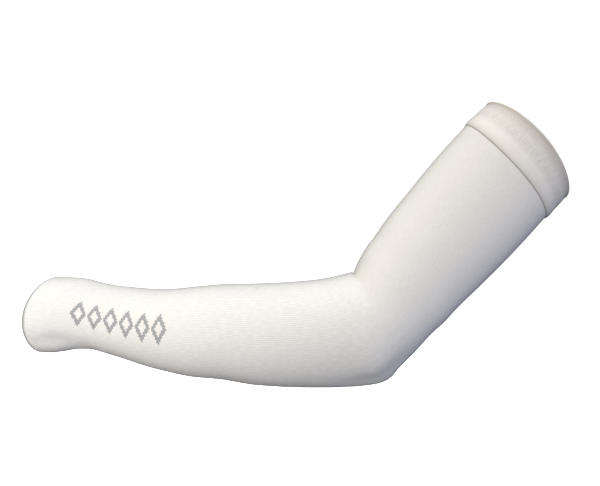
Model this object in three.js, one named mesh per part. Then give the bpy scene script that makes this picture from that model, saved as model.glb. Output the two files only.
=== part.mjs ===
import * as THREE from 'three';

// A knitted arm sleeve, held in the form that it takes when worn on a bent arm.
// Millimetres, +Z up. The arm bends in the XZ plane: the forearm runs towards -X and the upper arm
// rises towards +X. The origin is the centre of the mouth of the biceps band.

// Route of the arm, measured from the crook, the inner corner of the bend
const BEND_ANGLE = 49; // degrees that the upper arm rises above the forearm
const FOREARM_LENGTH = 237; // crook to wrist edge, on the inner line
const UPPER_ARM_LENGTH = 135; // crook to band seam, on the inner line
const CROOK_RADIUS = 4; // rounding of the fold in the crook
const WRIST_LEAN = 7.5; // degrees that the wrist edge leans out of square
const BAND_LEAN = 10; // degrees that the band leans out of square to the upper arm
const BAND_TURN = 3; // degrees that the band turns down from the line of the upper arm
const MOUTH_LEAN = 1; // further degrees that the mouth's edge leans

// Depths lie in the plane of the bend, widths across it
const WRIST_DEPTH = 60;
const WRIST_WIDTH = 62;
const FOREARM_DEPTH = 82;
const FOREARM_WIDTH = 79;
const ELBOW_DEPTH = 87;
const ELBOW_WIDTH = 78;
const BICEPS_DEPTH = 88;
const BICEPS_WIDTH = 82;
const MOUTH_DEPTH = 88.5;
const MOUTH_WIDTH = 86;

// Cloth
const BODY_WALL = 1.2; // one layer of knit
const WELT_WALL = 1.8; // two thin layers
const WELT_LENGTH = 18; // wrist edge to stitch line
const WELT_STITCH = 0.4; // depth of the stitch line's groove
const BAND_WALL = 2.4; // two layers of rib
const BAND_LENGTH = 24; // seam to mouth, on the inner line
const BAND_RELIEF = 0.9; // height of the band's roll
const RIB_PITCH = 3.1;
const RIB_HEIGHT = 0.5;

// How the edges run on the flat sides. A bow carries the whole side along the arm, away from the
// wrist. A sway does so on the outer half and carries the inner half the other way.
const WRIST_BOW = -4;
const WRIST_SWAY = 1;
const SEAM_BOW = -0.5;
const SEAM_SWAY = 2;
const MOUTH_BOW = 3;
const MOUTH_SWAY = 2;

const PIECE_GAP = 0.3;

// Fineness of the facets
const STATION_STEP = 8;
const SIDES = 34;
const SIDES_PER_RIB = 2;

// Sections of the forearm from the wrist's neck to the crook. along is a share of the forearm's
// length, level and depth are shares of its depth, width of its width, lean of the wrist's lean.
// level is how far the inner line lies below the crook. egg narrows the outer side.
const FOREARM_ROWS = [
  { along: 0.848, level: 0.108, depth: 0.652, width: 0.69, lean: 0.80, egg: 0.00 },
  { along: 0.766, level: 0.149, depth: 0.660, width: 0.73, lean: 0.60, egg: 0.00 },
  { along: 0.625, level: 0.173, depth: 0.752, width: 0.84, lean: 0.30, egg: 0.02 },
  { along: 0.494, level: 0.141, depth: 0.856, width: 0.93, lean: 0.10, egg: 0.03 },
  { along: 0.420, level: 0.121, depth: 0.888, width: 0.97, lean: 0.00, egg: 0.04 },
  { along: 0.290, level: 0.109, depth: 0.947, width: 1.00, lean: 0.00, egg: 0.05 },
  { along: 0.163, level: 0.087, depth: 0.979, width: 1.01, lean: 0.00, egg: 0.07 },
  { along: 0.080, level: 0.055, depth: 1.006, width: 1.00, lean: 0.00, egg: 0.08 },
];

// Sections from the wrist edge to the neck, as shares of the wrist's depth and width. edge is how
// much of the wrist edge's bow and sway they have.
const WRIST_ROWS = [
  { along: 1.000, level: 0.092, depth: 1.000, width: 1.00, lean: 1.00, egg: 0.00, edge: 1.0 },
  { along: 0.965, level: 0.090, depth: 1.005, width: 0.99, lean: 1.00, egg: 0.00, edge: 0.9 },
  { along: 0.925, level: 0.092, depth: 0.985, width: 0.95, lean: 1.00, egg: 0.00, edge: 0.6 },
  { along: 0.880, level: 0.113, depth: 0.930, width: 0.90, lean: 0.90, egg: 0.00, edge: 0.2 },
];

// Sections that fan out from the crook round the elbow. turn is a share of the whole fan, reach of
// the elbow's depth, width of the elbow's width.
const ELBOW_ROWS = [
  { turn: 0.00, reach: 0.985, width: 1.01, egg: 0.10 },
  { turn: 0.22, reach: 0.980, width: 1.00, egg: 0.12 },
  { turn: 0.40, reach: 0.985, width: 0.99, egg: 0.15 },
  { turn: 0.53, reach: 0.958, width: 0.98, egg: 0.15 },
  { turn: 0.66, reach: 0.912, width: 0.98, egg: 0.12 },
  { turn: 0.82, reach: 0.878, width: 0.98, egg: 0.08 },
  { turn: 1.00, reach: 0.855, width: 0.98, egg: 0.06 },
];

// Sections of the upper arm from the crook to the seam. along is a share of the upper arm's length,
// rise and depth are shares of the biceps' depth, width of its width. rise is how far the inner line
// stands out from a straight line through the crook, edge how much of the seam's bow and sway it has.
const UPPER_ARM_ROWS = [
  { along: 0.061, rise: 0.020, depth: 0.870, width: 0.94, egg: 0.05, edge: 0.0 },
  { along: 0.160, rise: 0.057, depth: 0.912, width: 0.95, egg: 0.04, edge: 0.0 },
  { along: 0.225, rise: 0.054, depth: 0.922, width: 0.96, egg: 0.03, edge: 0.0 },
  { along: 0.323, rise: 0.076, depth: 0.945, width: 0.97, egg: 0.03, edge: 0.0 },
  { along: 0.546, rise: 0.091, depth: 0.980, width: 0.99, egg: 0.00, edge: 0.1 },
  { along: 0.770, rise: 0.100, depth: 1.003, width: 1.00, egg: 0.00, edge: 0.5 },
  { along: 1.000, rise: 0.096, depth: 1.000, width: 1.00, egg: 0.00, edge: 1.0 },
];

// Hollows pressed into the cloth. place is a share of the route from wrist to seam, around is
// degrees from the inner line towards -Y, length and breadth are shares of the wrist's depth, and
// depth is in the cloth's own walls.
const DENTS = [
  { place: 0.045, around: 128, length: 0.18, breadth: 0.12, depth: 1.6 }, // side of the wrist
  { place: 0.125, around: 150, length: 0.30, breadth: 0.16, depth: 0.9 }, // underside of the wrist
  { place: 0.655, around: 0, length: 0.08, breadth: 0.40, depth: 0.9 }, // tuck above the crook
];

// Profile of the band from seam to mouth. along is a share of the band's length, lift of its
// relief, rib of the ribs' height.
const BAND_ROWS = [
  { along: 0.00, lift: -0.60, rib: 0.0 },
  { along: 0.05, lift: -0.10, rib: 0.0 },
  { along: 0.16, lift: 0.15, rib: 0.0 },
  { along: 0.28, lift: 0.90, rib: 0.0 },
  { along: 0.38, lift: 0.45, rib: 0.3 },
  { along: 0.48, lift: 0.10, rib: 1.0 },
  { along: 0.72, lift: -0.05, rib: 1.0 },
  { along: 0.87, lift: -0.50, rib: 0.8 },
  { along: 0.95, lift: -0.05, rib: 0.6 },
  { along: 1.00, lift: -0.45, rib: 0.3 },
];

// Profile of the welt from its stitch line to the wrist edge. lift is a share of the stitch's depth.
const WELT_ROWS = [
  { along: 1.00, lift: -1.0 },
  { along: 0.93, lift: 0.0 },
  { along: 0.50, lift: 0.3 },
  { along: 0.06, lift: 0.2 },
  { along: 0.00, lift: -1.0 },
];

// Directions in the plane of the bend, as vectors of X and Z
function direction(degrees) {
  const angle = THREE.MathUtils.degToRad(degrees);
  return new THREE.Vector2(Math.cos(angle), Math.sin(angle));
}

const DOWN = -90;
const UPPER_ARM_AXIS = direction(BEND_ANGLE);
const UPPER_ARM_SIDE = direction(BEND_ANGLE + 90);
const BAND_AXIS = direction(BEND_ANGLE - BAND_TURN);
const SEAM_ANGLE = DOWN + BEND_ANGLE - BAND_LEAN;
const FAN_ANGLE = SEAM_ANGLE - DOWN;

// A section is a closed egg: inner and outer are its ends in the plane of the bend, width is across.
function section(inner, angle, depth, width, egg = 0, bow = 0, sway = 0) {
  const outer = inner.clone().addScaledVector(direction(angle), depth);
  const ends = { innerX: inner.x, innerZ: inner.y, outerX: outer.x, outerZ: outer.y };
  return { ...ends, width, egg, bow, sway };
}

function forearmSection(row, depthSize, widthSize, edge) {
  const inner = new THREE.Vector2(-row.along * FOREARM_LENGTH, -row.level * depthSize);
  const angle = DOWN - row.lean * WRIST_LEAN;
  const depth = row.depth * depthSize;
  const width = row.width * widthSize;
  return section(inner, angle, depth, width, row.egg, edge * WRIST_BOW, edge * WRIST_SWAY);
}

function elbowSection(row) {
  const hinge = direction(DOWN + FAN_ANGLE / 2).multiplyScalar(-CROOK_RADIUS);
  const angle = DOWN + row.turn * FAN_ANGLE;
  const inner = hinge.addScaledVector(direction(angle), CROOK_RADIUS);
  return section(inner, angle, row.reach * ELBOW_DEPTH, row.width * ELBOW_WIDTH, row.egg);
}

function upperArmSection(row) {
  const inner = UPPER_ARM_AXIS.clone().multiplyScalar(row.along * UPPER_ARM_LENGTH);
  inner.addScaledVector(UPPER_ARM_SIDE, row.rise * BICEPS_DEPTH);
  const depth = row.depth * BICEPS_DEPTH;
  const width = row.width * BICEPS_WIDTH;
  return section(inner, SEAM_ANGLE, depth, width, row.egg, row.edge * SEAM_BOW, row.edge * SEAM_SWAY);
}

const ROUTE_SECTIONS = [
  ...WRIST_ROWS.map((row) => forearmSection(row, WRIST_DEPTH, WRIST_WIDTH, row.edge)),
  ...FOREARM_ROWS.map((row) => forearmSection(row, FOREARM_DEPTH, FOREARM_WIDTH, 0)),
  ...ELBOW_ROWS.map(elbowSection),
  ...UPPER_ARM_ROWS.map(upperArmSection),
];

// Distance between two sections, the mean of their inner and outer lines
function sectionStep(first, second) {
  const innerStep = Math.hypot(second.innerX - first.innerX, second.innerZ - first.innerZ);
  const outerStep = Math.hypot(second.outerX - first.outerX, second.outerZ - first.outerZ);
  return (innerStep + outerStep) / 2;
}

// Distance of each section from the wrist edge
function measureRoute(sections) {
  const places = [0];
  for (let i = 1; i < sections.length; i += 1) {
    places.push(places[i - 1] + sectionStep(sections[i - 1], sections[i]));
  }
  return places;
}

const ROUTE_PLACES = measureRoute(ROUTE_SECTIONS);
const ROUTE_LENGTH = ROUTE_PLACES[ROUTE_PLACES.length - 1];

// Slope of a smooth line at one of its points, level at a crest so that it never overshoots
function slopeAt(places, values, index) {
  const last = places.length - 1;
  const before = Math.max(index - 1, 0);
  const after = Math.min(index + 1, last);
  if (index === 0 || index === last) {
    return (values[after] - values[before]) / (places[after] - places[before]);
  }
  const stepBefore = places[index] - places[before];
  const stepAfter = places[after] - places[index];
  const slopeBefore = (values[index] - values[before]) / stepBefore;
  const slopeAfter = (values[after] - values[index]) / stepAfter;
  if (slopeBefore * slopeAfter <= 0) {
    return 0;
  }
  const weightBefore = 2 * stepAfter + stepBefore;
  const weightAfter = stepAfter + 2 * stepBefore;
  return (weightBefore + weightAfter) / (weightBefore / slopeBefore + weightAfter / slopeAfter);
}

// Value of a smooth line through points at the given places
function smoothValue(places, values, place) {
  let index = 0;
  while (index < places.length - 2 && place > places[index + 1]) {
    index += 1;
  }
  const step = places[index + 1] - places[index];
  const share = (place - places[index]) / step;
  const square = share * share;
  const cube = square * share;
  const startSlope = slopeAt(places, values, index);
  const endSlope = slopeAt(places, values, index + 1);
  return (2 * cube - 3 * square + 1) * values[index] + (cube - 2 * square + share) * step * startSlope
    + (3 * square - 2 * cube) * values[index + 1] + (cube - square) * step * endSlope;
}

function routeSection(place) {
  const result = {};
  for (const key of Object.keys(ROUTE_SECTIONS[0])) {
    const values = ROUTE_SECTIONS.map((item) => item[key]);
    result[key] = smoothValue(ROUTE_PLACES, values, place);
  }
  return result;
}

// Section of the band, from the seam to the mouth
function bandSection(share) {
  const seam = ROUTE_SECTIONS[ROUTE_SECTIONS.length - 1];
  const gap = PIECE_GAP / 2;
  const along = gap + share * (BAND_LENGTH - gap);
  const inner = new THREE.Vector2(seam.innerX, seam.innerZ).addScaledVector(BAND_AXIS, along);
  const angle = SEAM_ANGLE - share * MOUTH_LEAN;
  const mix = THREE.MathUtils.lerp;
  const seamDepth = Math.hypot(seam.outerX - seam.innerX, seam.outerZ - seam.innerZ);
  const depth = mix(seamDepth, MOUTH_DEPTH, share);
  const width = mix(seam.width, MOUTH_WIDTH, share);
  const bow = mix(SEAM_BOW, MOUTH_BOW, share);
  return section(inner, angle, depth, width, 0, bow, mix(SEAM_SWAY, MOUTH_SWAY, share));
}

// The mouth's centre is the origin
const MOUTH = bandSection(1);
const ORIGIN_X = (MOUTH.innerX + MOUTH.outerX) / 2;
const ORIGIN_Z = (MOUTH.innerZ + MOUTH.outerZ) / 2;

// Point of a section at an angle round it. Angle 0 is the inner line and 90 degrees faces -Y. lift
// moves the point outwards, and bow and sway move the flat sides square to the section.
function sectionPoint(shape, angle, lift) {
  const across = new THREE.Vector2(shape.outerX - shape.innerX, shape.outerZ - shape.innerZ);
  const depth = across.length() / 2 + lift;
  const width = shape.width / 2 + lift;
  across.normalize();
  const reach = -Math.cos(angle);
  const side = Math.sin(angle);
  const middleX = (shape.innerX + shape.outerX) / 2;
  const middleZ = (shape.innerZ + shape.outerZ) / 2;
  const shift = (shape.bow + shape.sway * reach) * side * side;
  return new THREE.Vector3(
    middleX + across.x * depth * reach - across.y * shift - ORIGIN_X,
    -width * side * (1 - shape.egg * reach),
    middleZ + across.y * depth * reach + across.x * shift - ORIGIN_Z,
  );
}

// How deep the cloth is pressed in at a place of the route and an angle round it
function dentDepth(place, angle) {
  let depth = 0;
  for (const dent of DENTS) {
    const turn = THREE.MathUtils.euclideanModulo(
      angle - THREE.MathUtils.degToRad(dent.around) + Math.PI, 2 * Math.PI) - Math.PI;
    const alongShare = (place - dent.place * ROUTE_LENGTH) / (dent.length * WRIST_DEPTH);
    const aroundShare = turn / (2 * dent.breadth);
    depth += dent.depth * BODY_WALL * Math.exp(-alongShare * alongShare - aroundShare * aroundShare);
  }
  return depth;
}

function anglesRound(count) {
  return Array.from({ length: count }, (_, index) => (2 * Math.PI * index) / count);
}

// A closed tube from two lists of loops, outside and inside, that run the same way
function tubeGeometry(outerLoops, innerLoops) {
  const count = outerLoops[0].length;
  const loops = [...outerLoops, ...innerLoops];
  const positions = loops.flat().flatMap((point) => point.toArray());
  const faces = [];
  const corner = (loop, index) => loop * count + (index % count);
  const band = (first, second) => {
    for (let i = 0; i < count; i += 1) {
      faces.push(corner(first, i), corner(first, i + 1), corner(second, i + 1));
      faces.push(corner(first, i), corner(second, i + 1), corner(second, i));
    }
  };
  for (let loop = 0; loop < outerLoops.length - 1; loop += 1) {
    band(loop, loop + 1);
  }
  const firstInner = outerLoops.length;
  const lastInner = loops.length - 1;
  band(outerLoops.length - 1, lastInner);
  for (let loop = lastInner; loop > firstInner; loop -= 1) {
    band(loop, loop - 1);
  }
  band(firstInner, 0);
  const geometry = new THREE.BufferGeometry();
  geometry.setAttribute('position', new THREE.Float32BufferAttribute(positions, 3));
  geometry.setIndex(faces);
  geometry.computeVertexNormals();
  return geometry;
}

// One loop of the route, pressed in where the dents are
function routeLoop(place, lift) {
  const shape = routeSection(place);
  return anglesRound(SIDES).map((angle) => sectionPoint(shape, angle, lift - dentDepth(place, angle)));
}

function evenPlaces(start, end, step) {
  const count = Math.ceil((end - start) / step);
  return Array.from({ length: count + 1 }, (_, index) => start + ((end - start) * index) / count);
}

function sleeveBody() {
  const places = evenPlaces(WELT_LENGTH + PIECE_GAP / 2, ROUTE_LENGTH - PIECE_GAP / 2, STATION_STEP);
  const outerLoops = places.map((place) => routeLoop(place, 0));
  const innerLoops = places.map((place) => routeLoop(place, -BODY_WALL));
  return tubeGeometry(outerLoops, innerLoops);
}

function wristWelt() {
  const length = WELT_LENGTH - PIECE_GAP / 2;
  const ordered = [...WELT_ROWS].reverse();
  const outerLoops = ordered.map((row) => routeLoop(row.along * length, row.lift * WELT_STITCH));
  const innerLoops = ordered.map((row) => routeLoop(row.along * length, -WELT_WALL));
  return tubeGeometry(outerLoops, innerLoops);
}

// Girth of an oval, for the number of ribs round the mouth
function girth(depth, width) {
  return (Math.PI / 2) * (depth + width);
}

function bicepsBand() {
  const ribs = Math.round(girth(MOUTH_DEPTH, MOUTH_WIDTH) / RIB_PITCH);
  const angles = anglesRound(ribs * SIDES_PER_RIB);
  const outerLoops = BAND_ROWS.map((row) => {
    const shape = bandSection(row.along);
    return angles.map((angle, index) => {
      const rib = index % SIDES_PER_RIB === 0 ? RIB_HEIGHT : 0;
      return sectionPoint(shape, angle, row.lift * BAND_RELIEF + row.rib * rib);
    });
  });
  const innerLoops = [0, 1].map((share) => {
    const shape = bandSection(share);
    return angles.map((angle) => sectionPoint(shape, angle, -BAND_WALL));
  });
  return tubeGeometry(outerLoops, innerLoops);
}

function clothMesh(name, geometry, color, roughness) {
  const material = new THREE.MeshStandardMaterial({ color, roughness, metalness: 0 });
  const mesh = new THREE.Mesh(geometry, material);
  mesh.name = name;
  return mesh;
}

const sleeve = new THREE.Group();
sleeve.name = 'arm_sleeve';
sleeve.add(
  clothMesh('wrist_welt', wristWelt(), 0xf6f3ee, 0.85),
  clothMesh('sleeve_body', sleeveBody(), 0xf4f2ee, 0.85),
  clothMesh('biceps_band', bicepsBand(), 0xe9e5de, 0.9),
);

export default sleeve;
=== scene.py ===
import math

import bpy
import numpy as np
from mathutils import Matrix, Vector


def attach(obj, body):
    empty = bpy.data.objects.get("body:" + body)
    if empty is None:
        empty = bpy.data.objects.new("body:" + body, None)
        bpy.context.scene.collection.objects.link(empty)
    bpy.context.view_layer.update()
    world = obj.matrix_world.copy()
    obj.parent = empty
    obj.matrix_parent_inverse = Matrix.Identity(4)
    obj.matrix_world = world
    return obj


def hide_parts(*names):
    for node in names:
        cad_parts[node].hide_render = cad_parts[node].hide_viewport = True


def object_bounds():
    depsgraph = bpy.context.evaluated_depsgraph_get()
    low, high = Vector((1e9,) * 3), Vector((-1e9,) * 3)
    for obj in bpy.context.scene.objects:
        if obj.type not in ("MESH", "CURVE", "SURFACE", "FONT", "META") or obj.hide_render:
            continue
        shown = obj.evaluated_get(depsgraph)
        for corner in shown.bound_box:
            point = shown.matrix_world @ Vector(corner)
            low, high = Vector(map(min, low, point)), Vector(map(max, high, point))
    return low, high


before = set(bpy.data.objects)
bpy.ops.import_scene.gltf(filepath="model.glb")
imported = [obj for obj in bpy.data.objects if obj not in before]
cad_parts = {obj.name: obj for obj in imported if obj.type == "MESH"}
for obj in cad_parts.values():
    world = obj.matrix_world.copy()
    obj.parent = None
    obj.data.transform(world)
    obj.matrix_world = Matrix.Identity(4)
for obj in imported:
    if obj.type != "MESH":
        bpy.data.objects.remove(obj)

cad_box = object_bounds()

# A knitted arm sleeve, held in the form that it takes when worn on a bent arm.
# Metres, +Z up. The arm bends in the XZ plane, and the origin is the centre of the band's mouth.

# Route of the arm, measured from the crook, the inner corner of the bend
BEND_ANGLE = 49  # degrees that the upper arm rises above the forearm
FOREARM_LENGTH = 0.237  # crook to wrist edge, on the inner line
UPPER_ARM_LENGTH = 0.135  # crook to band seam, on the inner line
CROOK_RADIUS = 0.004  # rounding of the fold in the crook
WRIST_LEAN = 7.5  # degrees that the wrist edge leans out of square
BAND_LEAN = 10  # degrees that the band leans out of square to the upper arm
BAND_TURN = 3  # degrees that the band turns down from the line of the upper arm
MOUTH_LEAN = 1  # further degrees that the mouth's edge leans

# Depths lie in the plane of the bend, widths across it
WRIST_DEPTH = 0.060
WRIST_WIDTH = 0.062
FOREARM_DEPTH = 0.082
FOREARM_WIDTH = 0.079
ELBOW_DEPTH = 0.087
ELBOW_WIDTH = 0.078
BICEPS_DEPTH = 0.088
BICEPS_WIDTH = 0.082
MOUTH_DEPTH = 0.0885
MOUTH_WIDTH = 0.084

# Cloth
BODY_WALL = 0.0012
WELT_WALL = 0.0018
WELT_LENGTH = 0.018  # wrist edge to stitch line
WELT_STITCH = 0.00012  # depth of the stitch line's groove
BAND_WALL = 0.0024
BAND_LENGTH = 0.024  # seam to mouth, on the inner line
BAND_RELIEF = 0.0009  # height of the band's roll
RIB_PITCH = 0.0019
RIB_HEIGHT = 0.00012
RIB_ROUNDNESS = 0.7  # power of the cosine across a rib: below 1 the grooves are narrow
PIECE_GAP = 0.00007

# How far the flat sides of each edge run along the arm: a bow away from the wrist, and a sway that
# carries the outer half along and the inner half back
WRIST_BOW = -0.0050
WRIST_SWAY = 0.001
SEAM_BOW = -0.0005
SEAM_SWAY = 0.002
MOUTH_BOW = 0.0036
MOUTH_SWAY = 0.0002

# Fineness of the meshes
BODY_STEP = 0.0016
LINING_STEP = 0.008
BODY_SIDES = 240
WELT_SIDES = 300
WELT_LOOPS = 22
WELT_LINING_SHARE = 4  # the inside has one loop for so many outside
SIDES_PER_RIB = 6
BAND_LOOPS = 44
BAND_LINING_SHARE = 5
FOLD_LOOPS = 8
SHARPEST_BEND = 50  # degrees between faces, past which an edge is sharp

# Colours of the yarn, of painted shade between its stitches and along its edges, and of its marks
WHITE = (0.935, 0.912, 0.898, 1.0)
WHITE_PAINTED_SHADE = (0.80, 0.785, 0.765, 1.0)
RIB_WHITE = (0.950, 0.918, 0.885, 1.0)
RIB_PAINTED_SHADE = (0.77, 0.735, 0.700, 1.0)
EDGE_SHADE_GREY = (0.30, 0.295, 0.29, 1.0)
SEAM_SHADOW_GREY = (0.36, 0.335, 0.315, 1.0)
MOUTH_SHADE_GREY = (0.60, 0.555, 0.52, 1.0)
MARK_GREY = (0.31, 0.315, 0.33, 1.0)

# Knit
BODY_WALES = 168  # columns of stitches round the sleeve
COURSE = 0.0011  # height of one row of stitches
BODY_RELIEF = 0.00010  # height of the stitches
WELT_RELIEF = 0.00009
RIB_RELIEF = 0.00010
SLUB = 1.4  # how far the yarn's thickness varies along each wale
SLUB_LENGTH = 0.005
FIBRE_SCALE = 2600  # fineness of the noise that stands for fibres
FIBRE_SHADE = 0.10  # how much of the valleys' colour the fibres carry
FIBRE_HEIGHT = 0.35  # share of the knit's relief
PATCH_SCALE = 55  # fineness of the noise that makes soft patches of tone
PATCH_DETAIL = 3
PATCH_TONE = 0.965  # brightness of the plain yarn that the patches mix in
PATCH_LEAST = 0.85  # least share of the knit's own colour in a patch
PATCH_SPREAD = 0.30  # how far that share varies

# A stitch, as shares of the knit's relief
CREST_HEIGHT = 0.28  # half of what the middle of a wale stands above its edges
LEG_HEIGHT = 0.30
LOOP_HEIGHT = 0.15  # how far each loop swells or thins a leg
LEG_SLANT = 1.4  # courses that a leg would rise across a whole wale

# Finish of the cloth. The coat is the gloss of stretched yarn at grazing angles.
CLOTH_ROUGHNESS = 0.88
CLOTH_SPECULAR = 0.15
COAT_WEIGHT = 1.0
COAT_ROUGHNESS = 0.22

# Where the stitches lie calm, where they are open, and the share of their relief and of the painted
# shade between them that is left where they lie calm. Places are metres from the wrist edge, and on
# the band from its seam.
BODY_CALM = {"calm": 0.300, "open": 0.235, "left": 0.55}
BAND_CALM = {"calm": 0.0070, "open": 0.0125, "left": 0.10}

# Painted shade along the edges: the shadow on the wrist's rolled edge, the seam's shadow line and
# the dim inside by the mouth. For each: where it is full, where it has faded out, and its share where
# it is full. Places are metres from the wrist edge, and on the band from its seam.
WRIST_EDGE_PAINTED_SHADE = {"color": EDGE_SHADE_GREY, "full": 0.0006, "faded": 0.0030, "share": 1.0}
SEAM_PAINTED_SHADOW = {"color": SEAM_SHADOW_GREY, "full": 0.0002, "faded": 0.0013, "share": 0.6}
MOUTH_SHADE = {"color": MOUTH_SHADE_GREY, "full": 0.0212, "faded": 0.0150, "share": 0.7}

# Waves of the stretched cloth
WAVE_COUNT = 26
WAVE_SEED = 11
WAVE_HEIGHT = 0.00006
SHORTEST_WAVE = 0.014
LONGEST_WAVE = 0.060

# Forearm from the wrist's neck to the crook. along is a share of the forearm's length, level and
# depth are shares of its depth, width of its width, lean of the wrist's lean. level is how far the
# inner line lies below the crook. egg narrows the outer side.
FOREARM_COLUMNS = ("along", "level", "depth", "width", "lean", "egg")
FOREARM_ROWS = (
    (0.848, 0.108, 0.652, 0.69, 0.80, 0.00),
    (0.766, 0.149, 0.660, 0.73, 0.60, 0.00),
    (0.625, 0.173, 0.752, 0.84, 0.30, 0.02),
    (0.494, 0.141, 0.856, 0.93, 0.10, 0.03),
    (0.420, 0.121, 0.888, 0.97, 0.00, 0.04),
    (0.290, 0.109, 0.947, 1.00, 0.00, 0.07),
    (0.163, 0.087, 0.979, 1.01, 0.00, 0.13),
    (0.080, 0.055, 1.006, 1.00, 0.00, 0.15),
)

# Wrist edge to neck, as shares of the wrist's depth and width. edge is the share of the edge's bow.
WRIST_COLUMNS = ("along", "level", "depth", "width", "lean", "egg", "edge")
WRIST_ROWS = (
    (1.000, 0.092, 1.000, 1.00, 1.00, 0.00, 1.0),
    (0.965, 0.090, 1.005, 0.99, 1.00, 0.00, 0.9),
    (0.925, 0.092, 0.985, 0.95, 1.00, 0.00, 0.6),
    (0.880, 0.113, 0.930, 0.90, 0.90, 0.00, 0.2),
)

# Sections that fan out from the crook round the elbow, as shares of the fan and the elbow's sizes
ELBOW_COLUMNS = ("turn", "reach", "width", "egg")
ELBOW_ROWS = (
    (0.00, 0.985, 1.01, 0.16),
    (0.22, 0.980, 1.00, 0.16),
    (0.40, 0.978, 0.99, 0.15),
    (0.53, 0.958, 0.98, 0.15),
    (0.66, 0.912, 0.98, 0.12),
    (0.82, 0.878, 0.98, 0.08),
    (1.00, 0.855, 0.98, 0.06),
)

# Upper arm from the crook to the seam, as shares of its length and of the biceps. rise is how far
# the inner line stands out from a straight line through the crook, edge the share of the seam's bow.
UPPER_ARM_COLUMNS = ("along", "rise", "depth", "width", "egg", "edge")
UPPER_ARM_ROWS = (
    (0.061, 0.020, 0.870, 0.94, 0.05, 0.0),
    (0.160, 0.051, 0.906, 0.95, 0.04, 0.0),
    (0.225, 0.058, 0.924, 0.96, 0.03, 0.0),
    (0.323, 0.076, 0.945, 0.97, 0.03, 0.0),
    (0.546, 0.091, 0.980, 0.99, 0.00, 0.1),
    (0.770, 0.100, 1.003, 1.00, 0.00, 0.5),
    (1.000, 0.096, 1.000, 1.00, 0.00, 1.0),
)

# Hollows pressed into the cloth, or swellings where depth is below 0. place is a share of the route
# from wrist to seam, around is degrees from the inner line towards -Y, and the sizes are in metres.
# breadth is measured round the wrist, and grows with the sleeve's girth.
DENT_COLUMNS = ("place", "around", "length", "breadth", "depth")
DENTS = (
    (0.045, 128, 0.0108, 0.0072, 0.00190),  # side of the wrist
    (0.088, 146, 0.0100, 0.0090, 0.00045),  # underside of the wrist
    (0.655, 0, 0.0048, 0.0240, 0.00110),  # tuck above the crook
    (0.420, 24, 0.0009, 0.0050, 0.00060),  # pucker on top of the forearm
    (0.427, 30, 0.0014, 0.0040, -0.00025),  # swelling beside it
    (0.622, 122, 0.0120, 0.0110, -0.00100),  # knobs of the elbow's two sides
    (0.622, -122, 0.0120, 0.0110, -0.00100),
    (0.627, 145, 0.0175, 0.0072, 0.00150),  # hollows under them
    (0.627, -145, 0.0175, 0.0072, 0.00150),
    (0.612, 92, 0.0320, 0.0170, -0.00150),  # swellings of the elbow's two sides
    (0.612, -92, 0.0320, 0.0170, -0.00150),
)

# Where the cloth spans the crook: place and reach are shares of the route, turn and breadth are
# degrees from the inner line
CROOK_PLACE = 0.630
CROOK_REACH = 0.055
CROOK_TURN = 30
CROOK_BREADTH = 26
CROOK_PASSES = 60

# Profile of the band from seam to mouth. along is a share of its length, lift of its relief, rib of
# the ribs' height.
BAND_COLUMNS = ("along", "lift", "rib")
BAND_ROWS = (
    (0.00, -0.90, 0.0),
    (0.03, 0.10, 0.0),
    (0.08, 0.75, 0.0),
    (0.15, 1.10, 0.0),
    (0.25, 0.95, 0.0),
    (0.36, 0.50, 0.1),
    (0.47, 0.20, 0.7),
    (0.65, 0.00, 1.0),
    (0.80, -0.40, 1.0),
    (0.90, -0.80, 0.8),
    (0.96, -0.05, 0.3),
    (1.00, 0.15, 0.0),
)

# Profile of the welt from the wrist edge to its stitch line. along is a share of its length, lift of
# the stitch line's depth.
WELT_COLUMNS = ("along", "lift")
WELT_ROWS = (
    (0.00, -0.5),
    (0.06, 0.2),
    (0.50, 0.3),
    (0.93, 0.0),
    (1.00, -1.0),
)

# Row of grey lozenges knitted into the forearm
MARK_ANGLE = 80  # degrees from the inner line towards -Y
MARK_START = 0.031  # from the wrist edge
MARK_PITCH = 0.0132
MARK_COUNT = 6
MARK_HALF_LENGTH = 0.0062
MARK_HALF_HEIGHT = 0.058  # share of the girth
MARK_HOLLOW = 0.52  # share of each lozenge that is left white in its middle
MARK_SHARE = 0.85  # how much of the mark's grey shows in its stitches

# Camera, at the photograph's angle
VIEW_TARGET = Vector((-0.16551, 0.0, -0.06802))
VIEW_DISTANCE = 0.456
VIEW_AZIMUTH = 6.5
VIEW_ELEVATION = 0.5
LENS = 36
SENSOR_WIDTH = 36
NEAREST_SEEN = 0.01

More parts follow.
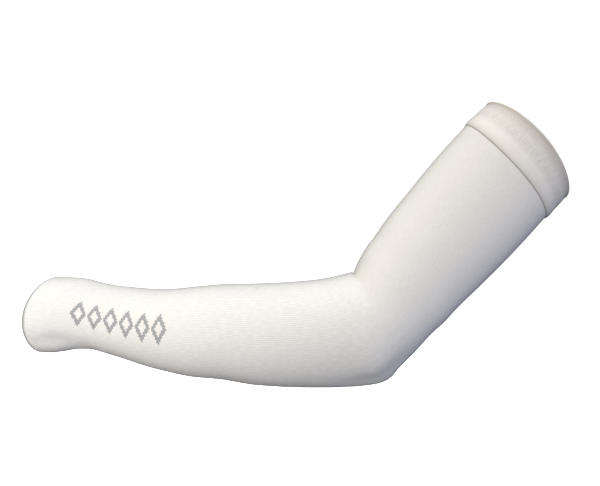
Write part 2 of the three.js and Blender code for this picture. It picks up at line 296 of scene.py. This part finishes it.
# Surroundings
FLOOR_DROP = 0.15  # how far the floor lies below the sleeve
FLOOR_SIDES = 96
ROOM_RADIUS = 4.0
ROOM_SIDES = 64
ROOM_RINGS = 32
PAPER_WHITE = (0.95, 0.95, 0.95, 1.0)
PAPER_ROUGHNESS = 0.9
PAPER_GLOW = 1.0
PANEL_FADE = 2.0  # power of the cosine with which a panel of light fades round its direction
PANELS = (  # direction, then light in red, green and blue
    ((0.0, 0.0, 1.0), (1.37, 1.42, 1.46)),
    ((-0.8, -0.2, 0.6), (0.48, 0.43, 0.32)),
    ((0.8, -0.4, -0.4), (0.40, 0.46, 0.61)),
)
WRIST_POINT = (-0.33, 0.0, -0.13)
FOREARM_POINT = (-0.28, 0.0, -0.10)
MIDDLE_POINT = (-0.17, 0.0, -0.07)
LIGHTS = (  # name, place, the point that it faces, size, watts and colour
    ("front_left", (-0.45, -0.40, -0.10), FOREARM_POINT, 0.35, 0.52, (0.94, 1.0, 1.0)),
    ("low_left", (-0.42, -0.35, -0.24), WRIST_POINT, 0.35, 0.66, (1.0, 0.93, 0.81)),
    ("front_right", (0.45, -0.90, 0.30), MIDDLE_POINT, 0.5, 2.9, (1.0, 0.90, 0.79)),
    ("back", (-0.27, 0.90, -0.08), MIDDLE_POINT, 0.3, 2.6, (1.0, 0.98, 0.95)),
)


def columns(names, rows):
    """The table's columns by name."""
    return {name: np.array([row[i] for row in rows], float) for i, name in enumerate(names)}


def direction(degrees):
    """Directions in the plane of the bend, as X and Z."""
    angle = np.radians(degrees)
    return np.stack([np.cos(angle), np.sin(angle)], -1)


DOWN = -90
SEAM_ANGLE = DOWN + BEND_ANGLE - BAND_LEAN
FAN_ANGLE = SEAM_ANGLE - DOWN


def sections(inner, angle, depth, width, egg, bow, sway):
    """Closed eggs: inner and outer are their ends in the plane of the bend, width is across. bow and
    sway carry their flat sides along the arm."""
    count = len(inner)
    return {
        "inner": inner,
        "outer": inner + direction(angle) * np.reshape(depth, (-1, 1)),
        "width": np.broadcast_to(width, count).astype(float),
        "egg": np.broadcast_to(egg, count).astype(float),
        "bow": np.broadcast_to(bow, count).astype(float),
        "sway": np.broadcast_to(sway, count).astype(float),
    }


def forearm_sections(table, depth_size, width_size, edge):
    inner = np.stack([-table["along"] * FOREARM_LENGTH, -table["level"] * depth_size], -1)
    angle = DOWN - table["lean"] * WRIST_LEAN
    depth = table["depth"] * depth_size
    width = table["width"] * width_size
    return sections(inner, angle, depth, width, table["egg"], edge * WRIST_BOW, edge * WRIST_SWAY)


def elbow_sections(table):
    hinge = -CROOK_RADIUS * direction(DOWN + FAN_ANGLE / 2)
    angle = DOWN + table["turn"] * FAN_ANGLE
    inner = hinge + CROOK_RADIUS * direction(angle)
    depth = table["reach"] * ELBOW_DEPTH
    return sections(inner, angle, depth, table["width"] * ELBOW_WIDTH, table["egg"], 0, 0)


def upper_arm_sections(table):
    inner = np.outer(table["along"] * UPPER_ARM_LENGTH, direction(BEND_ANGLE))
    inner += np.outer(table["rise"] * BICEPS_DEPTH, direction(BEND_ANGLE + 90))
    angle = np.full(len(inner), SEAM_ANGLE)
    depth = table["depth"] * BICEPS_DEPTH
    width = table["width"] * BICEPS_WIDTH
    bow = table["edge"] * SEAM_BOW
    return sections(inner, angle, depth, width, table["egg"], bow, table["edge"] * SEAM_SWAY)


def route_of_arm():
    """All sections from the wrist edge to the seam, in one table."""
    wrist = columns(WRIST_COLUMNS, WRIST_ROWS)
    forearm = columns(FOREARM_COLUMNS, FOREARM_ROWS)
    parts = [
        forearm_sections(wrist, WRIST_DEPTH, WRIST_WIDTH, wrist["edge"]),
        forearm_sections(forearm, FOREARM_DEPTH, FOREARM_WIDTH, 0),
        elbow_sections(columns(ELBOW_COLUMNS, ELBOW_ROWS)),
        upper_arm_sections(columns(UPPER_ARM_COLUMNS, UPPER_ARM_ROWS)),
    ]
    return {key: np.concatenate([part[key] for part in parts]) for key in parts[0]}


def measure(route):
    """Distance of each section from the wrist edge, the mean of the inner and outer lines."""
    inner_steps = np.linalg.norm(np.diff(route["inner"], axis=0), axis=1)
    outer_steps = np.linalg.norm(np.diff(route["outer"], axis=0), axis=1)
    return np.concatenate([[0.0], np.cumsum((inner_steps + outer_steps) / 2)])


def smooth_line(places, values, queries):
    """Smooth line through points, level at its crests so that it never overshoots."""
    steps = np.diff(places)
    slopes = np.diff(values) / steps
    tangents = np.empty(len(values))
    tangents[0] = slopes[0]
    tangents[-1] = slopes[-1]
    before, after = slopes[:-1], slopes[1:]
    rising = before * after > 0
    weight_before = 2 * steps[1:] + steps[:-1]
    weight_after = steps[1:] + 2 * steps[:-1]
    safe_before = np.where(rising, before, 1)
    safe_after = np.where(rising, after, 1)
    mean = (weight_before + weight_after) / (weight_before / safe_before + weight_after / safe_after)
    tangents[1:-1] = np.where(rising, mean, 0)
    index = np.clip(np.searchsorted(places, queries, side="right") - 1, 0, len(steps) - 1)
    step = steps[index]
    share = (queries - places[index]) / step
    square = share ** 2
    cube = share ** 3
    line = (2 * cube - 3 * square + 1) * values[index]
    line += (cube - 2 * square + share) * step * tangents[index]
    line += (3 * square - 2 * cube) * values[index + 1]
    line += (cube - square) * step * tangents[index + 1]
    return line


ROUTE = route_of_arm()
ROUTE_PLACES = measure(ROUTE)
ROUTE_LENGTH = ROUTE_PLACES[-1]


def route_sections(places):
    """Sections of the route at the given distances from the wrist edge."""
    result = {}
    for key, values in ROUTE.items():
        if values.ndim == 1:
            result[key] = smooth_line(ROUTE_PLACES, values, places)
        else:
            parts = [smooth_line(ROUTE_PLACES, part, places) for part in values.T]
            result[key] = np.stack(parts, -1)
    return result


def band_sections(shares):
    """Sections of the band, from the seam at 0 to the mouth at 1."""
    along = PIECE_GAP / 2 + shares * (BAND_LENGTH - PIECE_GAP / 2)
    inner = ROUTE["inner"][-1] + np.outer(along, direction(BEND_ANGLE - BAND_TURN))
    seam_depth = np.linalg.norm(ROUTE["outer"][-1] - ROUTE["inner"][-1])

    def mix(start, end):
        return start + (end - start) * shares

    angle = SEAM_ANGLE - shares * MOUTH_LEAN
    depth = mix(seam_depth, MOUTH_DEPTH)
    width = mix(ROUTE["width"][-1], MOUTH_WIDTH)
    bow = mix(SEAM_BOW, MOUTH_BOW)
    return sections(inner, angle, depth, width, 0, bow, mix(SEAM_SWAY, MOUTH_SWAY))


MOUTH = band_sections(np.array([1.0]))
ORIGIN = (MOUTH["inner"][0] + MOUTH["outer"][0]) / 2


def section_points(shape, angles, lift):
    """Points of the sections at angles round them. Angle 0 is the inner line, a quarter turn faces
    -Y, and lift moves the points outwards."""
    middle = (shape["inner"] + shape["outer"]) / 2 - ORIGIN
    across = shape["outer"] - shape["inner"]
    length = np.linalg.norm(across, axis=1, keepdims=True)
    across = across / length
    lift = np.broadcast_to(lift, (len(middle), len(angles)))
    depth = length / 2 + lift
    width = shape["width"][:, None] / 2 + lift
    reach = -np.cos(angles)[None, :]
    side = np.sin(angles)[None, :]
    shift = (shape["bow"][:, None] + shape["sway"][:, None] * reach) * side ** 2
    x = middle[:, :1] + across[:, :1] * depth * reach - across[:, 1:] * shift
    y = -width * side * (1 - shape["egg"][:, None] * reach)
    z = middle[:, 1:] + across[:, 1:] * depth * reach + across[:, :1] * shift
    return np.stack([x, y, z], -1)


def angles_round(count):
    return np.arange(count) * 2 * math.pi / count


def dents(places, angles):
    """How deep the cloth is pressed in at each place and angle."""
    depth = np.zeros((len(places), len(angles)))
    table = columns(DENT_COLUMNS, DENTS)
    wrist_radius = WRIST_DEPTH / 2
    for place, around, length, breadth, amount in zip(*table.values()):
        turn = (angles - math.radians(around) + math.pi) % (2 * math.pi) - math.pi
        along_share = (places - place * ROUTE_LENGTH) / length
        around_share = turn * wrist_radius / breadth
        depth += amount * np.exp(-along_share[:, None] ** 2 - around_share[None, :] ** 2)
    return depth


def unevenness(points):
    """The slight waves of stretched cloth, from waves that cross the room in random directions."""
    random = np.random.default_rng(WAVE_SEED)
    height = np.zeros(points.shape[:2])
    for _ in range(WAVE_COUNT):
        heading = random.normal(size=3)
        heading /= np.linalg.norm(heading)
        wave_length = random.uniform(SHORTEST_WAVE, LONGEST_WAVE)
        start = random.uniform(0, 2 * math.pi)
        weight = wave_length / LONGEST_WAVE
        height += weight * np.sin(points @ heading * (2 * math.pi / wave_length) + start)
    usual_sum = math.sqrt(WAVE_COUNT) / 2
    return height * WAVE_HEIGHT / usual_sum


def route_loops(places, angles, lift):
    """Loops of the sleeve's surface, with its dents and unevenness."""
    shape = route_sections(places)
    flat = section_points(shape, angles, 0)
    pressed = lift - dents(places, angles) + unevenness(flat)
    return section_points(shape, angles, pressed)


def stretch_over_crook(loops, places, angles):
    """Evens out the fold beside the crook, where stretched cloth spans it, along the sleeve. The
    crook's own line stays sharp."""
    near = np.exp(-((places / ROUTE_LENGTH - CROOK_PLACE) / CROOK_REACH) ** 2)
    turn = np.degrees(np.minimum(angles, 2 * math.pi - angles))
    beside = np.exp(-((turn - CROOK_TURN) / CROOK_BREADTH) ** 2) * np.clip(turn / CROOK_TURN, 0, 1)
    share = (near[:, None] * beside[None, :])[1:-1, :, None]
    for _ in range(CROOK_PASSES):
        between = (loops[:-2] + loops[2:]) / 2
        loops[1:-1] += share * (between - loops[1:-1])
    return loops


def swept_mesh(name, loops, alongs):
    """A closed tube through loops that run out along one face of the cloth and back along the other.
    alongs is each loop's distance from the wrist edge, and on the band from its seam. The UV map
    holds the share of a turn and that distance."""
    loop_count, side_count = loops.shape[:2]
    first = np.arange(loop_count)[:, None] * side_count
    second = (np.arange(loop_count)[:, None] + 1) % loop_count * side_count
    side = np.arange(side_count)[None, :]
    next_side = (side + 1) % side_count
    faces = np.stack([first + side, first + next_side, second + next_side, second + side], -1)
    faces = faces.reshape(-1, 4)
    mesh = bpy.data.meshes.new(name)
    mesh.from_pydata(loops.reshape(-1, 3).tolist(), [], faces.tolist())
    turn = np.arange(side_count) / side_count
    turn_step = 1 / side_count
    grid = (loop_count, side_count)
    next_alongs = np.roll(alongs, -1)
    corner_turns = [turn, turn + turn_step, turn + turn_step, turn]
    corner_alongs = [alongs, alongs, next_alongs, next_alongs]
    u = np.stack([np.broadcast_to(value[None, :], grid) for value in corner_turns], -1)
    v = np.stack([np.broadcast_to(value[:, None], grid) for value in corner_alongs], -1)
    layer = mesh.uv_layers.new(name="knit")
    layer.uv.foreach_set("vector", np.stack([u, v], -1).astype(np.float32).ravel())
    mesh.shade_smooth()
    mesh.set_sharp_from_angle(angle=math.radians(SHARPEST_BEND))
    mesh.update()
    piece = bpy.data.objects.new(name, mesh)
    bpy.context.scene.collection.objects.link(piece)
    return piece


def even_places(start, end, step):
    return np.linspace(start, end, math.ceil((end - start) / step) + 1)


def make_body():
    start = WELT_LENGTH + PIECE_GAP / 2
    end = ROUTE_LENGTH - PIECE_GAP / 2
    angles = angles_round(BODY_SIDES)
    outside = even_places(start, end, BODY_STEP)
    inside = even_places(start, end, LINING_STEP)[::-1]
    outer_loops = stretch_over_crook(route_loops(outside, angles, 0), outside, angles)
    inner_loops = route_loops(inside, angles, -BODY_WALL)
    loops = np.concatenate([outer_loops, inner_loops])
    return swept_mesh("body_cloth", loops, np.concatenate([outside, inside]))


def fold(radius):
    """The round edge of folded cloth: how far each loop stands out and how deep it lies."""
    turn = np.linspace(0, math.pi, FOLD_LOOPS + 2)[1:-1]
    return radius * np.sin(turn), radius * (1 - np.cos(turn))


def make_welt():
    length = WELT_LENGTH - PIECE_GAP / 2
    radius = WELT_WALL / 2
    angles = angles_round(WELT_SIDES)
    table = columns(WELT_COLUMNS, WELT_ROWS)
    outside = np.linspace(radius, length, WELT_LOOPS)
    lift = smooth_line(table["along"], table["lift"], outside / length) * WELT_STITCH
    inside = outside[::-WELT_LINING_SHARE]
    reach, depth = fold(radius)
    edge = (radius - reach)[::-1]
    edge_lift = lift[0] - depth[::-1]
    places = np.concatenate([outside, inside, edge])
    lifts = np.concatenate([lift, np.full(len(inside), -WELT_WALL), edge_lift])
    return swept_mesh("welt_cloth", route_loops(places, angles, lifts[:, None]), places)


def girth(depth, width):
    """Girth of an oval, for the number of ribs round the mouth."""
    return math.pi / 2 * (depth + width)


RIB_COUNT = round(girth(MOUTH_DEPTH, MOUTH_WIDTH) / RIB_PITCH)


def make_band():
    radius = BAND_WALL / 2
    angles = angles_round(RIB_COUNT * SIDES_PER_RIB)
    rib = np.abs(np.cos(angles * RIB_COUNT / 2)) ** RIB_ROUNDNESS
    table = columns(BAND_COLUMNS, BAND_ROWS)
    outside = np.linspace(0, 1 - radius / BAND_LENGTH, BAND_LOOPS)
    relief = smooth_line(table["along"], table["lift"], outside) * BAND_RELIEF
    rib_height = smooth_line(table["along"], table["rib"], outside) * RIB_HEIGHT
    outer_lift = relief[:, None] + rib_height[:, None] * rib[None, :]
    reach, depth = fold(radius)
    edge = outside[-1] + reach / BAND_LENGTH
    fade = 1 - depth / BAND_WALL
    edge_lift = fade[:, None] * outer_lift[-1][None, :] - depth[:, None]
    inside = outside[::-BAND_LINING_SHARE]
    inner_lift = np.full((len(inside), len(angles)), -BAND_WALL)
    shares = np.concatenate([outside, edge, inside])
    lifts = np.concatenate([outer_lift, edge_lift, inner_lift])
    loops = section_points(band_sections(shares), angles, lifts)
    loops += outward_waves(loops)
    return swept_mesh("band_cloth", loops, shares * BAND_LENGTH)


def outward_waves(loops):
    """The body's unevenness, carried on across the band, away from the middle of each loop."""
    middle = loops.mean(axis=1, keepdims=True)
    outwards = loops - middle
    outwards /= np.linalg.norm(outwards, axis=2, keepdims=True)
    return outwards * unevenness(loops)[..., None]


class Nodes:
    """Adds nodes to the tree of a material or a world, and links them."""

    def __init__(self, tree):
        self.tree = tree

    def add(self, kind, **values):
        node = self.tree.nodes.new(kind)
        for name, value in values.items():
            setattr(node, name, value)
        return node

    def link(self, source, target):
        """Links an output to an input, or sets a plain value on the input itself."""
        if isinstance(source, (int, float, tuple)):
            target.default_value = source
        else:
            self.tree.links.new(source, target)

    def math(self, operation, first, second=0.0, third=0.0):
        node = self.add("ShaderNodeMath", operation=operation)
        for socket, value in zip(node.inputs, (first, second, third)):
            self.link(value, socket)
        return node.outputs[0]

    def mix(self, share, first, second):
        node = self.add("ShaderNodeMix", data_type="RGBA")
        self.link(share, node.inputs["Factor"])
        self.link(first, node.inputs["A"])
        self.link(second, node.inputs["B"])
        return node.outputs["Result"]

    def noise(self, place, scale, detail=2.0):
        node = self.add("ShaderNodeTexNoise")
        self.link(place, node.inputs["Vector"])
        self.link(scale, node.inputs["Scale"])
        self.link(detail, node.inputs["Detail"])
        return node.outputs["Fac"]

    def fade(self, value, start, end, first=0.0):
        """Goes smoothly from first, where the value is at the start, to 1 at the end."""
        node = self.add("ShaderNodeMapRange", interpolation_type="SMOOTHSTEP")
        self.link(value, node.inputs["Value"])
        self.link(start, node.inputs["From Min"])
        self.link(end, node.inputs["From Max"])
        self.link(first, node.inputs["To Min"])
        return node.outputs["Result"]


def stitch_height(nodes, wale, course):
    """Relief of plain knit: two slanting legs in each wale, a loop in each course."""
    part = nodes.math("FRACT", wale)
    from_middle = nodes.math("ABSOLUTE", nodes.math("SUBTRACT", part, 0.5))
    crest = nodes.math("COSINE", nodes.math("MULTIPLY", from_middle, 2 * math.pi))
    leg = nodes.math("SINE", nodes.math("MULTIPLY", from_middle, 2 * math.pi))
    slant = nodes.math("MULTIPLY_ADD", from_middle, LEG_SLANT, course)
    loop = nodes.math("COSINE", nodes.math("MULTIPLY", slant, 2 * math.pi))
    bead = nodes.math("MULTIPLY", leg, nodes.math("MULTIPLY_ADD", loop, LOOP_HEIGHT, LEG_HEIGHT))
    return nodes.math("MULTIPLY_ADD", crest, CREST_HEIGHT, nodes.math("ADD", bead, CREST_HEIGHT))


def lozenge_row(nodes, wale, course, wales):
    """1 in a row of open lozenges, drawn stitch by stitch as a knitted figure is, and 0 elsewhere."""
    turn = nodes.math("DIVIDE", nodes.math("ADD", nodes.math("FLOOR", wale), 0.5), wales)
    step = nodes.math("ADD", nodes.math("FLOOR", course), 0.5)
    along = nodes.math("MULTIPLY", step, COURSE)
    count = nodes.math("DIVIDE", nodes.math("SUBTRACT", along, MARK_START), MARK_PITCH)
    from_middle = nodes.math("ABSOLUTE", nodes.math("SUBTRACT", nodes.math("FRACT", count), 0.5))
    length_share = nodes.math("MULTIPLY", from_middle, MARK_PITCH / MARK_HALF_LENGTH)
    from_line = nodes.math("ABSOLUTE", nodes.math("SUBTRACT", turn, MARK_ANGLE / 360))
    height_share = nodes.math("DIVIDE", from_line, MARK_HALF_HEIGHT)
    reach = nodes.math("ADD", length_share, height_share)
    within = nodes.math("LESS_THAN", reach, 1.0)
    outside_hollow = nodes.math("GREATER_THAN", reach, MARK_HOLLOW)
    after_start = nodes.math("GREATER_THAN", count, 0.0)
    before_end = nodes.math("LESS_THAN", count, MARK_COUNT)
    figure = nodes.math("MULTIPLY", within, outside_hollow)
    return nodes.math("MULTIPLY", figure, nodes.math("MULTIPLY", after_start, before_end))


def open_share(nodes, wale, along):
    """How open the knit is: the yarn's thickness varies along each wale."""
    slub = nodes.add("ShaderNodeCombineXYZ")
    nodes.link(wale, slub.inputs["X"])
    nodes.link(nodes.math("DIVIDE", along, SLUB_LENGTH), slub.inputs["Y"])
    thickness = nodes.noise(slub.outputs["Vector"], 1.0, 1.0)
    return nodes.math("MULTIPLY_ADD", thickness, -2 * SLUB, 1 + SLUB)


def cloth_surface(nodes, color, height, relief):
    """Matt cloth with a faint gloss at grazing angles, raised by the height."""
    bump = nodes.add("ShaderNodeBump")
    nodes.link(relief, bump.inputs["Distance"])
    nodes.link(1.0, bump.inputs["Strength"])
    nodes.link(height, bump.inputs["Height"])
    shader = nodes.add("ShaderNodeBsdfPrincipled")
    nodes.link(color, shader.inputs["Base Color"])
    nodes.link(bump.outputs["Normal"], shader.inputs["Normal"])
    shader.inputs["Roughness"].default_value = CLOTH_ROUGHNESS
    shader.inputs["Specular IOR Level"].default_value = CLOTH_SPECULAR
    shader.inputs["Coat Weight"].default_value = COAT_WEIGHT
    shader.inputs["Coat Roughness"].default_value = COAT_ROUGHNESS
    output = nodes.add("ShaderNodeOutputMaterial")
    nodes.link(shader.outputs["BSDF"], output.inputs["Surface"])


def knit_material(name, crest, valley_shade, wales, relief, mark=None, calm=None, shades=()):
    """White knit: stitches in relief, with painted shade in the valleys between them. mark is the colour
    of a knitted figure, calm says where along the piece the stitches lie calm, and shades are painted
    shade along its edges."""
    material = bpy.data.materials.new(name)
    material.use_nodes = True
    material.node_tree.nodes.clear()
    nodes = Nodes(material.node_tree)
    split = nodes.add("ShaderNodeSeparateXYZ")
    nodes.link(nodes.add("ShaderNodeUVMap", uv_map="knit").outputs["UV"], split.inputs[0])
    along = split.outputs["Y"]
    wale = nodes.math("MULTIPLY", split.outputs["X"], wales)
    course = nodes.math("DIVIDE", along, COURSE)
    position = nodes.add("ShaderNodeTexCoord").outputs["Object"]
    fibre = nodes.noise(position, FIBRE_SCALE)
    patches = nodes.noise(position, PATCH_SCALE, PATCH_DETAIL)
    stitch = stitch_height(nodes, wale, course)
    height = stitch
    open_knit = open_share(nodes, wale, along)
    if calm:
        left = nodes.fade(along, calm["calm"], calm["open"], calm["left"])
        height = nodes.math("MULTIPLY", stitch, left)
        open_knit = nodes.math("MULTIPLY", open_knit, left)
    # Painted shade in the valleys between the stitches, where shadow would fall; less where they lie
    # calm
    valley_shade_share = nodes.math("MULTIPLY", nodes.math("SUBTRACT", 1.0, stitch), open_knit)
    color = nodes.mix(valley_shade_share, crest, valley_shade)
    plain = tuple(value * PATCH_TONE for value in crest[:3]) + (1.0,)
    color = nodes.mix(nodes.math("MULTIPLY_ADD", patches, PATCH_SPREAD, PATCH_LEAST), plain, color)
    color = nodes.mix(nodes.math("MULTIPLY", fibre, FIBRE_SHADE), color, valley_shade)
    # Painted shade along the edges: the wrist edge's shadow, the seam's shadow line, the dim band by the
    # mouth
    for shade in shades:
        faded = nodes.fade(along, shade["full"], shade["faded"], 1 - shade["share"])
        color = nodes.mix(faded, shade["color"], color)
    if mark:
        figure = lozenge_row(nodes, wale, course, wales)
        color = nodes.mix(nodes.math("MULTIPLY", figure, MARK_SHARE), color, mark)
    height = nodes.math("MULTIPLY_ADD", fibre, FIBRE_HEIGHT, height)
    cloth_surface(nodes, color, height, relief)
    return material


def paper_material():
    """Pale studio paper, lit evenly."""
    material = bpy.data.materials.new("paper")
    material.use_nodes = True
    shader = material.node_tree.nodes["Principled BSDF"]
    shader.inputs["Base Color"].default_value = PAPER_WHITE
    shader.inputs["Roughness"].default_value = PAPER_ROUGHNESS
    shader.inputs["Emission Color"].default_value = PAPER_WHITE
    shader.inputs["Emission Strength"].default_value = PAPER_GLOW
    return material


def make_stage():
    """A pale floor below the sleeve, and a pale room round it that casts no light on it."""
    middle = (cad_box[0] + cad_box[1]) / 2
    place = (middle[0], middle[1], cad_box[0][2] - FLOOR_DROP)
    paper = paper_material()
    bpy.ops.mesh.primitive_circle_add(
        vertices=FLOOR_SIDES, radius=ROOM_RADIUS, fill_type="NGON", location=place)
    floor = bpy.context.object
    floor.name = "floor"
    bpy.ops.mesh.primitive_uv_sphere_add(
        segments=ROOM_SIDES, ring_count=ROOM_RINGS, radius=ROOM_RADIUS, location=place)
    room = bpy.context.object
    room.name = "room"
    for piece in (floor, room):
        piece.data.materials.append(paper)
        piece.visible_diffuse = False
        piece.visible_glossy = False
        piece.visible_shadow = False


def make_world():
    """Soft light from wide panels far off: each is brightest in its own direction and fades round it."""
    world = bpy.data.worlds.new("studio")
    world.use_nodes = True
    bpy.context.scene.world = world
    nodes = Nodes(world.node_tree)
    place = nodes.add("ShaderNodeTexCoord").outputs["Generated"]
    total = (0.0, 0.0, 0.0)
    for toward, color in PANELS:
        facing = nodes.add("ShaderNodeVectorMath", operation="DOT_PRODUCT")
        nodes.link(place, facing.inputs[0])
        nodes.link(tuple(Vector(toward).normalized()), facing.inputs[1])
        clipped = nodes.math("MAXIMUM", facing.outputs["Value"], 0.0)
        glow = nodes.add("ShaderNodeVectorMath", operation="MULTIPLY_ADD")
        nodes.link(nodes.math("POWER", clipped, PANEL_FADE), glow.inputs[0])
        nodes.link(color, glow.inputs[1])
        nodes.link(total, glow.inputs[2])
        total = glow.outputs["Vector"]
    nodes.link(total, world.node_tree.nodes["Background"].inputs["Color"])


def add_light(name, position, target, size, power, color):
    data = bpy.data.lights.new(name, "AREA")
    data.shape = "DISK"
    data.size = size
    data.energy = power
    data.color = color
    light = bpy.data.objects.new(name, data)
    light.location = position
    light.visible_camera = False
    light.visible_glossy = False
    light.rotation_euler = (Vector(target) - Vector(position)).to_track_quat("-Z", "Y").to_euler()
    bpy.context.scene.collection.objects.link(light)


def make_camera():
    azimuth = math.radians(VIEW_AZIMUTH)
    elevation = math.radians(VIEW_ELEVATION)
    level = math.cos(elevation)
    offset = Vector((math.sin(azimuth) * level, -math.cos(azimuth) * level, math.sin(elevation)))
    data = bpy.data.cameras.new("camera")
    data.lens = LENS
    data.sensor_width = SENSOR_WIDTH
    data.sensor_fit = "HORIZONTAL"
    data.clip_start = NEAREST_SEEN
    camera = bpy.data.objects.new("camera", data)
    camera.location = VIEW_TARGET + VIEW_DISTANCE * offset
    camera.rotation_euler = (-offset).to_track_quat("-Z", "Y").to_euler()
    bpy.context.scene.collection.objects.link(camera)
    bpy.context.scene.camera = camera


def dress(piece, node, material):
    """Puts the cloth in place of its plain solid."""
    piece.data.materials.append(material)
    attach(piece, "root")
    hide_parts(node)


body_knit = knit_material(
    "body_knit", WHITE, WHITE_PAINTED_SHADE, BODY_WALES, BODY_RELIEF, mark=MARK_GREY, calm=BODY_CALM)
# The welt carries painted shadow on its wrist edge, the band painted shadow at its seam and painted
# shade by its mouth
welt_knit = knit_material(
    "welt_knit", WHITE, WHITE_PAINTED_SHADE, BODY_WALES, WELT_RELIEF, shades=(WRIST_EDGE_PAINTED_SHADE,))
rib_knit = knit_material(
    "rib_knit", RIB_WHITE, RIB_PAINTED_SHADE, RIB_COUNT, RIB_RELIEF, calm=BAND_CALM,
    shades=(SEAM_PAINTED_SHADOW, MOUTH_SHADE))

make_camera()
dress(make_body(), "sleeve_body", body_knit)
dress(make_welt(), "wrist_welt", welt_knit)
dress(make_band(), "biceps_band", rib_knit)
make_stage()
make_world()
for light in LIGHTS:
    add_light(*light)
bpy.context.scene.view_settings.view_transform = "Standard"
